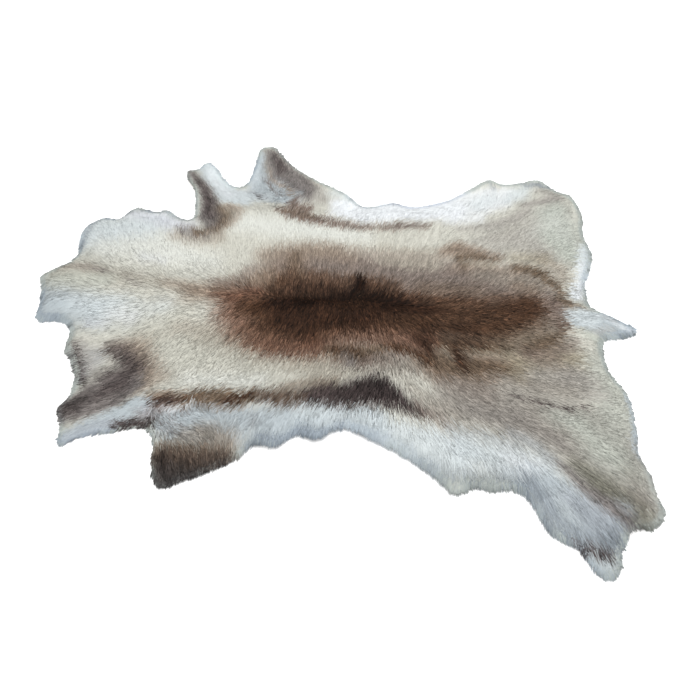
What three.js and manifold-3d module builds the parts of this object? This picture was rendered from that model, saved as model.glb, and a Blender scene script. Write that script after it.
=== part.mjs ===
// Reindeer hide: the tanned skin of one animal with its hair on, spread out hair side up on a flat surface.
// It is a single piece, cut from neck to tail and along the belly, with two foreleg strips, two elbow flaps,
// two hind legs and the tail left on. The solid runs from the flesh side, which lies flat apart from a few
// folds, up to the tips of the hair.
// Millimetres. +X runs along the back from neck to tail, +Y towards the animal's right side, +Z up. The
// origin is on the flesh side, under the middle of the bounding box.

import * as THREE from "three";
import { mergeVertices } from "three/addons/utils/BufferGeometryUtils.js";
import Module from "manifold-3d";

// Driving sizes.
const HIDE_LENGTH = 1370; // from the neck's cut edge to the tip of the tail
const BACK_PILE = 24; // depth of skin and hair together on the back
const EDGE_SHARE = 0.32; // share of that depth left at the cut edge, where the hair lies over
const EDGE_ROLL = 42; // width of the border over which the hair rises to its full depth
const FACET = 24; // spacing of the surface's facets
const EDGE_STEP = 15; // spacing of points along the cut edge

// The cut edge, one closed run round the hide by part of the animal, each row [along, across] the back.
// The rows are where the outline turns, and a smooth curve joins them.
const CUT_EDGE = {
  neck: [
    [-680, -18], [-667, -47], [-651, -86], [-644, -119], [-625, -134], [-597, -128], [-562, -138], [-547, -165],
  ],
  leftThroat: [[-541, -198], [-517, -224], [-491, -267], [-486, -300]],
  leftForeleg: [[-496, -332], [-483, -353], [-465, -399], [-432, -379], [-370, -361], [-318, -350]],
  leftElbow: [[-293, -368], [-280, -417], [-252, -453], [-205, -434], [-150, -406], [-116, -382], [-96, -358]],
  leftBelly: [
    [-52, -359], [-18, -330], [19, -338], [68, -311], [112, -322], [174, -345], [243, -382], [282, -411],
    [311, -396], [355, -396], [402, -392],
  ],
  leftHindLeg: [
    [420, -421], [443, -458], [485, -475], [515, -514], [548, -513], [566, -467], [588, -436], [626, -430],
    [650, -404], [645, -362], [641, -330], [628, -298],
  ],
  leftRump: [[636, -245], [634, -180], [606, -128], [602, -80], [609, -53]],
  tail: [[640, -46], [667, -35], [686, -21], [655, -1], [631, 16], [594, 30]],
  rightRump: [[593, 60], [595, 100], [616, 149], [624, 200], [615, 262], [624, 322]],
  rightHindLeg: [[605, 386], [560, 409], [535, 449], [504, 451], [466, 428], [425, 424], [388, 433], [341, 400]],
  rightBelly: [[290, 357], [235, 327], [180, 311], [130, 321], [60, 298], [33, 314], [3, 343]],
  rightElbow: [[-70, 381], [-144, 429], [-185, 469], [-228, 517], [-263, 507], [-265, 440], [-274, 352]],
  rightForeleg: [
    [-297, 338], [-339, 369], [-370, 411], [-405, 431], [-420, 401], [-446, 382], [-434, 345], [-405, 308],
    [-387, 250], [-381, 210],
  ],
  rightThroat: [[-410, 204], [-452, 225], [-485, 222], [-542, 231], [-571, 187], [-608, 189]],
  neckCorner: [[-642, 157], [-645, 121], [-630, 78], [-623, 35], [-650, 9]],
};

// Where the hair is deeper or shorter than on the back: centre, reach of the patch and depth with the skin.
const PILE_ZONES = [
  { zone: "mane", along: -560, across: 10, reach: 170, depth: 33 },
  { zone: "leftForeleg", along: -440, across: -340, reach: 90, depth: 15 },
  { zone: "leftElbow", along: -230, across: -400, reach: 80, depth: 17 },
  { zone: "leftBelly", along: 220, across: -350, reach: 120, depth: 29 },
  { zone: "leftHindLeg", along: 530, across: -440, reach: 100, depth: 20 },
  { zone: "tail", along: 635, across: -12, reach: 50, depth: 36 },
  { zone: "rightHindLeg", along: 500, across: 400, reach: 110, depth: 18 },
  { zone: "rightBelly", along: 100, across: 300, reach: 110, depth: 25 },
  { zone: "rightElbow", along: -220, across: 430, reach: 100, depth: 16 },
  { zone: "rightForeleg", along: -400, across: 330, reach: 90, depth: 14 },
];
const ZONE_PULL = 6; // how much a zone outweighs the back at its centre

// Folds of the skin: soft ridges that lift it off the surface, each along a path, with the height at the
// path's first and last point and the half width of the ridge.
const SKIN_FOLDS = [
  { fold: "neckRidge", first: 24, last: 0, half: 40, path: [[-690, 0], [-640, 22], [-590, 24], [-450, -12]] },
  { fold: "rightThroatPinch", first: 15, last: 0, half: 32, path: [[-445, 228], [-385, 128]] },
  { fold: "rightForelegCurl", first: 9, last: 3, half: 30, path: [[-440, 372], [-390, 285], [-350, 220]] },
  { fold: "leftForelegRoll", first: 14, last: 3, half: 36, path: [[-496, -332], [-450, -300], [-400, -235]] },
  { fold: "leftThroatRoll", first: 7, last: 7, half: 26, path: [[-540, -190], [-485, -275]] },
  { fold: "leftFlankFold", first: 10, last: 0, half: 36, path: [[-340, -290], [-60, -243], [150, -208]] },
  { fold: "bellyScallopOne", first: 13, last: 0, half: 36, path: [[-72, -358], [-62, -285]] },
  { fold: "bellyScallopTwo", first: 13, last: 0, half: 34, path: [[20, -346], [14, -275]] },
  { fold: "bellyScallopThree", first: 9, last: 0, half: 34, path: [[110, -322], [104, -260]] },
  { fold: "leftHindFold", first: 11, last: 2, half: 32, path: [[592, -440], [540, -395], [470, -330]] },
  { fold: "rightHaunchRidge", first: 11, last: 2, half: 34, path: [[606, 394], [550, 402], [500, 368], [440, 320]] },
  { fold: "rightHindRippleOne", first: 12, last: 0, half: 30, path: [[388, 438], [372, 365]] },
  { fold: "rightHindRippleTwo", first: 11, last: 0, half: 30, path: [[463, 436], [440, 365]] },
];

// Hollows in the hair alone, where it parts or is pressed down, with the depth at each end of the path.
const HAIR_HOLLOWS = [
  { hollow: "spineParting", first: 5, last: 7, half: 36, path: [[-150, -36], [0, -16], [90, 2], [220, -20]] },
  { hollow: "backCrease", first: 7, last: 2, half: 30, path: [[62, 2], [62, 60]] },
  { hollow: "haunchCrease", first: 2, last: 5, half: 26, path: [[385, -212], [450, -221], [500, -229], [560, -217]] },
];

const edgeRows = Object.values(CUT_EDGE)
  .flat()
  .map(([along, across]) => new THREE.Vector3(along, across, 0));
const edgeCurve = new THREE.CatmullRomCurve3(edgeRows, true, "centripetal");
const edgePoints = edgeCurve
  .getSpacedPoints(Math.round(edgeCurve.getLength() / EDGE_STEP))
  .slice(0, -1)
  .map((point) => new THREE.Vector2(point.x, point.y));

const smooth = (share) => THREE.MathUtils.smoothstep(share, 0, 1);

// Distance from a point to a straight stretch, and how far along the stretch the nearest place is, 0 to 1.
function toStretch(point, start, end) {
  const way = end.clone().sub(start);
  const share = THREE.MathUtils.clamp(point.clone().sub(start).dot(way) / way.lengthSq(), 0, 1);
  return { away: point.distanceTo(start.clone().addScaledVector(way, share)), share };
}

function distanceToEdge(point) {
  const away = edgePoints.map((start, i) => toStretch(point, start, edgePoints[(i + 1) % edgePoints.length]).away);
  return Math.min(...away);
}

// Height of a ridge at a point: a half cosine across its path, running from its first to its last height.
function ridgeHeight(point, { first, last, half, path }) {
  const stretches = path.slice(1).map((end, i) => {
    const found = toStretch(point, new THREE.Vector2(...path[i]), new THREE.Vector2(...end));
    return { away: found.away, along: (i + found.share) / (path.length - 1) };
  });
  const nearest = stretches.reduce((best, next) => (next.away < best.away ? next : best));
  return THREE.MathUtils.lerp(first, last, nearest.along) * smooth(1 - nearest.away / half);
}

const skinLift = (point) => Math.max(...SKIN_FOLDS.map((fold) => ridgeHeight(point, fold)));

const hollowDepth = (point) => Math.max(...HAIR_HOLLOWS.map((hollow) => ridgeHeight(point, hollow)));

function pileDepth(point) {
  let weight = 1;
  let total = BACK_PILE;
  for (const { along, across, reach, depth } of PILE_ZONES) {
    const pull = ZONE_PULL * Math.exp(-point.distanceToSquared(new THREE.Vector2(along, across)) / reach ** 2);
    weight += pull;
    total += pull * depth;
  }
  const risen = EDGE_SHARE + (1 - EDGE_SHARE) * smooth(distanceToEdge(point) / EDGE_ROLL);
  return (total / weight) * risen - hollowDepth(point);
}

// A blank larger than the hide, whose lower side follows the skin's folds and upper side the hair's tips.
function blankGeometry(outline) {
  const size = outline.getSize(new THREE.Vector2()).addScalar(2 * FACET);
  const middle = outline.getCenter(new THREE.Vector2());
  const blank = new THREE.BoxGeometry(
    size.x, size.y, 1, Math.round(size.x / FACET), Math.round(size.y / FACET), 1,
  ).translate(middle.x, middle.y, 0);
  const corners = blank.getAttribute("position");
  for (let i = 0; i < corners.count; i += 1) {
    const point = new THREE.Vector2(corners.getX(i), corners.getY(i));
    const isTop = corners.getZ(i) > 0;
    corners.setZ(i, skinLift(point) + (isTop ? pileDepth(point) : 0));
  }
  return blank;
}

// An upright cutter of the hide's outline, tall enough to pass through the whole blank.
function cutterGeometry() {
  const height = 200;
  return new THREE.ExtrudeGeometry(new THREE.Shape(edgePoints), {
    depth: height,
    bevelEnabled: false,
  }).translate(0, 0, -height / 2);
}

const wasm = await Module();
wasm.setup();

function solidFrom(geometry) {
  const bare = geometry.clone();
  bare.deleteAttribute("normal");
  bare.deleteAttribute("uv");
  const merged = mergeVertices(bare, 1e-3);
  return new wasm.Manifold(
    new wasm.Mesh({
      numProp: 3,
      vertProperties: merged.getAttribute("position").array,
      triVerts: merged.index.array,
    }),
  );
}

function geometryFrom(solid) {
  const mesh = solid.getMesh();
  const geometry = new THREE.BufferGeometry();
  geometry.setAttribute("position", new THREE.BufferAttribute(mesh.vertProperties, 3));
  geometry.setIndex(new THREE.BufferAttribute(mesh.triVerts, 1));
  geometry.computeVertexNormals();
  return geometry;
}

const outlineBox = new THREE.Box2().setFromPoints(edgePoints);
const hideGeometry = geometryFrom(solidFrom(blankGeometry(outlineBox)).intersect(solidFrom(cutterGeometry())));

// The curve rounds the outermost rows a little, so the cut piece is centred and brought to its stated length.
const centre = outlineBox.getCenter(new THREE.Vector2());
const fit = HIDE_LENGTH / outlineBox.getSize(new THREE.Vector2()).x;
hideGeometry.translate(-centre.x, -centre.y, 0).scale(fit, fit, 1);

const coat = new THREE.MeshStandardMaterial({ color: 0xa3917d, roughness: 0.85, metalness: 0 });
const hide = new THREE.Mesh(hideGeometry, coat);
hide.name = "hide";

const reindeerHide = new THREE.Group();
reindeerHide.add(hide);

export default reindeerHide;
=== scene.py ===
import math

import bmesh
import bpy
import numpy as np
from mathutils import Matrix, Vector
from mathutils.bvhtree import BVHTree


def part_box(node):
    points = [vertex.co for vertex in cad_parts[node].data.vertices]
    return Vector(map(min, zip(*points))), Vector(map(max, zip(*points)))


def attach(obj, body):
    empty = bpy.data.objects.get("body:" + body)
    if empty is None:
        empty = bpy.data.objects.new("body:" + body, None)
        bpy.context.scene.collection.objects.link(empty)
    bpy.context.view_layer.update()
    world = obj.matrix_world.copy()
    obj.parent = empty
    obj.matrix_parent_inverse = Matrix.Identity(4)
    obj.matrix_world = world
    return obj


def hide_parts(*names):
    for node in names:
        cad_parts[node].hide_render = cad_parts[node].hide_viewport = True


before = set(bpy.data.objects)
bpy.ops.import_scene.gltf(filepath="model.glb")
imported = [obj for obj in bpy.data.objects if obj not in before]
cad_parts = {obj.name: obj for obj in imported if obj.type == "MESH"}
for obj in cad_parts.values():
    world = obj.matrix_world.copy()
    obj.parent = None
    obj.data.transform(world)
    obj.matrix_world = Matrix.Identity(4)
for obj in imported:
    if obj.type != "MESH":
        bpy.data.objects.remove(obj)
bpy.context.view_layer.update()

MM = 0.001


# Skin. One tanned reindeer skin, about 1.6 mm of soft leather with a suede flesh side, lies flesh side down.
# It is cut as a single sheet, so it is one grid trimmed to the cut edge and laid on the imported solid's folds.
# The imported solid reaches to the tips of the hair, and the leather ends a little inside them.
SKIN_THICKNESS = 1.6 * MM
SKIN_CELL = 13 * MM
MAP_STEP = 5 * MM  # spacing of the height and distance maps
MAP_MARGIN = 45 * MM  # how far the maps reach past the hide
MAP_INSET = 1.5 * MM  # nearer to the rim than this, and past it, heights are read this far inside it

# How the hair grows by part of the body: the place and spread of each patch, how far the hair reaches once it
# lies over, its drawn width, and how far it hangs past the leather's cut, all in millimetres.
BACK_HAIR = {"reach": 16, "width": 1.05, "overhang": 8}
HAIR_PATCHES = (
    # part, x, y, spread, reach, width, overhang
    ("neck", -580, 20, 150, 30, 0.95, 12),
    ("left throat", -510, -215, 60, 27, 0.95, 12),
    ("left foreleg", -440, -335, 80, 13, 0.85, 4),
    ("left elbow", -225, -400, 80, 16, 0.85, 5),
    ("left belly front", -20, -330, 85, 36, 0.95, 14),
    ("left belly middle", 200, -360, 110, 40, 0.95, 16),
    ("left belly back", 380, -390, 80, 40, 0.95, 16),
    ("left flank", -140, -265, 60, 14, 0.95, 8),
    ("left flank, back", 60, -240, 60, 15, 0.95, 8),
    ("left hind leg", 545, -440, 75, 20, 0.9, 8),
    ("tail", 625, -15, 50, 30, 0.95, 12),
    ("right rump", 605, 180, 60, 22, 0.95, 10),
    ("right hind leg", 520, 430, 70, 18, 0.9, 8),
    ("right belly back", 390, 410, 80, 32, 0.95, 13),
    ("right belly", 150, 325, 130, 36, 0.95, 14),
    ("right flank", -70, 235, 60, 13, 0.95, 8),
    ("right flank, back", 90, 215, 70, 13, 0.95, 8),
    ("right elbow", -215, 430, 90, 15, 0.85, 4),
    ("right foreleg", -395, 350, 80, 13, 0.85, 4),
)
PATCH_PULL = 5  # how much a patch outweighs the back's hair at its centre


def patched(quantity, x, y):
    """A quantity of the hair at points x, y: the back's own, drawn towards that of each patch nearby."""
    column = {"reach": 4, "width": 5, "overhang": 6}[quantity]
    total = np.full(x.shape, float(BACK_HAIR[quantity]))
    weight = np.ones(x.shape)
    for patch in HAIR_PATCHES:
        away = np.hypot(x / MM - patch[1], y / MM - patch[2])
        pull = PATCH_PULL * np.exp(-((away / patch[3]) ** 2))
        total += pull * patch[column]
        weight += pull
    return total / weight * MM


def is_rim(edge):
    """True where the solid's underside, which faces down, meets the wall of its cut edge, which faces out."""
    slopes = sorted(face.normal.z for face in edge.link_faces)
    return len(slopes) == 2 and slopes[0] < -0.5 < slopes[1] < 0.5


hide_solid = bmesh.new()
hide_solid.from_mesh(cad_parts["hide"].data)
bmesh.ops.remove_doubles(hide_solid, verts=hide_solid.verts, dist=0.01 * MM)  # its faces come loose
hide_solid.normal_update()
lie = BVHTree.FromBMesh(hide_solid)
rim = np.array([[*e.verts[0].co.xy, *e.verts[1].co.xy] for e in hide_solid.edges if is_rim(e)])
hide_solid.free()


def nearest_on(x, y, start, end):
    """The places on a straight stretch nearest to points, and how far along it they are, from 0 to 1."""
    run_x, run_y = end[0] - start[0], end[1] - start[1]
    share = np.clip(((x - start[0]) * run_x + (y - start[1]) * run_y) / (run_x**2 + run_y**2), 0, 1)
    return start[0] + share * run_x, start[1] + share * run_y, share


def measure_from_rim(x, y):
    """How far points lie inside the rim, less than 0 outside it, and the nearest places on the rim."""
    nearest = np.full(x.shape, np.inf)
    rim_x, rim_y = np.zeros(x.shape), np.zeros(x.shape)
    inside = np.zeros(x.shape, bool)
    for x0, y0, x1, y1 in rim:
        place_x, place_y, _share = nearest_on(x, y, (x0, y0), (x1, y1))
        away = np.hypot(x - place_x, y - place_y)
        closer = away < nearest
        nearest[closer] = away[closer]
        rim_x[closer], rim_y[closer] = place_x[closer], place_y[closer]
        if y0 != y1:  # a point is inside when a line from it to +X crosses the rim an odd number of times
            inside ^= ((y0 > y) != (y1 > y)) & (x < x0 + (y - y0) * (x1 - x0) / (y1 - y0))
    return np.where(inside, nearest, -nearest), rim_x, rim_y


def pulled_inside(x, y, inset):
    """Points moved square to the rim until they lie inset inside it, and how deep they lay before."""
    depth, rim_x, rim_y = measure_from_rim(x, y)
    divisor = np.where(np.abs(depth) < 1e-7, 1e-7, depth)  # never zero
    way_x, way_y = (x - rim_x) / divisor, (y - rim_y) / divisor
    return rim_x + way_x * inset, rim_y + way_y * inset, depth


low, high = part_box("hide")
map_x = np.arange(low.x - MAP_MARGIN, high.x + MAP_MARGIN, MAP_STEP)
map_y = np.arange(low.y - MAP_MARGIN, high.y + MAP_MARGIN, MAP_STEP)
node_x, node_y = np.meshgrid(map_x, map_y, indexing="ij")
safe_x, safe_y, rim_depth = pulled_inside(node_x, node_y, MAP_INSET)
safe_x = np.where(rim_depth > MAP_INSET, node_x, safe_x)
safe_y = np.where(rim_depth > MAP_INSET, node_y, safe_y)


def cast(start, way):
    """Heights of the solid's surface under or over every node of the map, met from start."""
    heights = np.zeros(safe_x.size)
    for i, (x, y) in enumerate(zip(safe_x.flat, safe_y.flat)):
        hit = lie.ray_cast(Vector((x, y, start)), Vector((0, 0, way)))[0]
        heights[i] = hit.z if hit else 0
    return heights.reshape(safe_x.shape)


skin_height = cast(-1, 1)
hair_height = cast(1, -1)


def between_nodes(values, column, row, ease=lambda share: share):
    """A map's values at places counted in its own columns and rows, blended from the four nodes around."""
    i, j = column.astype(int), row.astype(int)
    u, v = ease(column - i), ease(row - j)
    near = values[i, j] * (1 - u) + values[i + 1, j] * u
    far = values[i, j + 1] * (1 - u) + values[i + 1, j + 1] * u
    return near * (1 - v) + far * v


def read_map(values, x, y):
    """A map's values at points x, y. Maps of any spacing cover the same area."""
    last_column, last_row = values.shape[0] - 1, values.shape[1] - 1
    column = (x - map_x[0]) / (map_x[-1] - map_x[0]) * last_column
    row = (y - map_y[0]) / (map_y[-1] - map_y[0]) * last_row
    return between_nodes(values, np.clip(column, 0, last_column - 0.01), np.clip(row, 0, last_row - 0.01))


def places_of(verts):
    """x and y of vertices, as two arrays."""
    return np.array([v.co.xy for v in verts]).T


def trimmed_grid(cell):
    """A flat grid over the hide, cut to the leather's outline, with its border moved onto the cut."""
    sheet = bmesh.new()
    size = high - low
    place = Matrix.Translation((low + high) / 2) @ Matrix.Diagonal((size.x, size.y, 1, 1))
    bmesh.ops.create_grid(
        sheet,
        x_segments=round(size.x / cell),
        y_segments=round(size.y / cell),
        size=0.5,
        matrix=place,
    )
    x, y = places_of(sheet.verts)
    inset = patched("overhang", x, y)
    cut_x, cut_y, depth = pulled_inside(x, y, inset)
    border = np.abs(depth - inset) < cell / 2
    for vert, on_border, place_x, place_y in zip(sheet.verts, border, cut_x, cut_y):
        if on_border:
            vert.co.xy = place_x, place_y
    moved = {v for v, on_border in zip(sheet.verts, border) if on_border}
    kept = moved | {v for v, is_inside in zip(sheet.verts, depth > inset) if is_inside}
    corners = [[v for v in face.verts if v in kept] for face in sheet.faces]
    bmesh.ops.delete(sheet, geom=[v for v in sheet.verts if v not in kept], context="VERTS")
    for corner in corners:
        if len(corner) == 3 and not moved.issuperset(corner):
            sheet.faces.new(corner)  # a cell with one corner cut off keeps its other half
    loose = [v for v in sheet.verts if not v.link_faces]
    bmesh.ops.delete(sheet, geom=loose, context="VERTS")
    return sheet


def lay(verts, heights):
    """Moves vertices straight up or down to the heights given by a function of x and y."""
    for vert, z in zip(verts, heights(*places_of(verts))):
        vert.co.z = z


def raised(sheet, heights):
    """Closes a laid sheet into a solid: it becomes the underside, and a copy of it, raised, the top."""
    grown = bmesh.ops.extrude_face_region(sheet, geom=sheet.faces[:])["geom"]
    lay([g for g in grown if isinstance(g, bmesh.types.BMVert)], heights)
    bmesh.ops.recalc_face_normals(sheet, faces=sheet.faces[:])
    return sheet


def in_scene(name, data):
    """A new object of that name in the scene, for a mesh, light or camera."""
    made = bpy.data.objects.new(name, data)
    bpy.context.scene.collection.objects.link(made)
    return made


def object_from(shape, name, material):
    """A bmesh as an object of that name and material."""
    mesh = bpy.data.meshes.new(name)
    shape.to_mesh(mesh)
    shape.free()
    mesh.materials.append(material)
    return in_scene(name, mesh)


def srgb(shade):
    """An sRGB hex colour as its three levels, from 0 to 1."""
    return np.array([int(shade[i : i + 2], 16) for i in (1, 3, 5)]) / 255


def to_linear(levels):
    """sRGB levels as linear ones."""
    return np.where(levels <= 0.04045, levels / 12.92, ((levels + 0.055) / 1.055) ** 2.4)


def linear(shade):
    """An sRGB hex colour as linear red, green, blue and alpha."""
    return [*to_linear(srgb(shade)), 1]


def add_node(material, kind, settings=(), **links):
    """Adds a node to a material, sets its properties and sockets, and links named inputs to other outputs."""
    node = material.node_tree.nodes.new(kind)
    for name, value in dict(settings).items():
        if hasattr(node, name):
            setattr(node, name, value)
        else:
            node.inputs[name].default_value = value
    for name, output in links.items():
        material.node_tree.links.new(node.inputs[name.replace("_", " ")], output)
    return node


def start_material(name):
    """A new material and its Principled shader."""
    material = bpy.data.materials.new(name)
    material.use_nodes = True
    return material, material.node_tree.nodes["Principled BSDF"]


def suede():
    """Tanned flesh side: pale, matt, with a short nap and slow blotches where the tanning took unevenly."""
    material, shader = start_material("suede")
    places = add_node(material, "ShaderNodeTexCoord").outputs["Object"]
    blotches = add_node(material, "ShaderNodeTexNoise", {"Scale": 1 / (60 * MM), "Detail": 4}, Vector=places)
    tint = add_node(material, "ShaderNodeValToRGB", Fac=blotches.outputs["Fac"])
    tint.color_ramp.elements[0].color = linear("#bfae93")
    tint.color_ramp.elements[1].color = linear("#dccfb8")
    nap = add_node(material, "ShaderNodeTexNoise", {"Scale": 1 / (1.5 * MM), "Detail": 3}, Vector=places)
    depth = {"Strength": 0.4, "Distance": 0.3 * MM}
    relief = add_node(material, "ShaderNodeBump", depth, Height=nap.outputs["Fac"])
    material.node_tree.links.new(shader.inputs["Base Color"], tint.outputs["Color"])
    material.node_tree.links.new(shader.inputs["Normal"], relief.outputs["Normal"])
    shader.inputs["Roughness"].default_value = 0.9
    shader.inputs["Sheen Weight"].default_value = 0.25
    shader.inputs["Sheen Roughness"].default_value = 0.5
    return material


skin_sheet = trimmed_grid(SKIN_CELL)
lay(skin_sheet.verts, lambda x, y: read_map(skin_height, x, y))
raised(skin_sheet, lambda x, y: read_map(skin_height, x, y) + SKIN_THICKNESS)
skin = object_from(skin_sheet, "skin", suede())
skin.data.shade_smooth()
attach(skin, "root")
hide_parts("hide")


# Undercoat. Under the long hair a reindeer has dense crimped wool, matted close to the skin. It is one closed
# layer about two thirds as deep as the hair, coloured as the coat above it, and thins out towards the cut.
UNDERCOAT_CELL = 9.5 * MM
UNDERCOAT_SHARE = 0.66
UNDERCOAT_ROLL = 30 * MM  # breadth of the border over which it rises
UNDERCOAT_START = 0.6 * MM  # its depth at the leather's cut
UNDERCOAT_GAP = 0.1 * MM  # between the leather and its underside
WOOL_TUFT = 14 * MM
WOOL_UNEVENNESS = 0.07  # how much the tufts differ, as a share of its depth
HAIR_REFLECTS = 0.63  # share of the light that the whitest hair throws back

# Natural hair shades.
SHADES = {
    "snow": "#f4f8fb",
    "frost": "#dee6e8",
    "lilac": "#d9dde5",
    "silver": "#c3ccd0",
    "mist": "#b3bac0",
    "pewter": "#8f979e",
    "milk": "#ebede6",
    "cream": "#dad9ce",
    "ivory": "#cdccc0",
    "oat": "#b7b1a3",
    "lichen": "#c8cdc3",
    "straw": "#a79d89",
    "dun": "#b3afa8",
    "stone": "#9f988e",
    "fawn": "#968474",
    "taupe": "#7f6f66",
    "drab": "#6e5d4d",
    "brown": "#50392a",
    "russet": "#704f3f",
    "umber": "#37251b",
    "soot": "#1d110b",
    "ash": "#7f7976",
    "olive": "#7b796c",
    "slate": "#473e3d",
    "coal": "#2d2726",
}
GROUND_SHADE = "cream"
CUT_SHADE = "lichen"  # the ground shade passes into this along the cut edge
CUT_SHADE_BREADTH = 26 * MM

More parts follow.
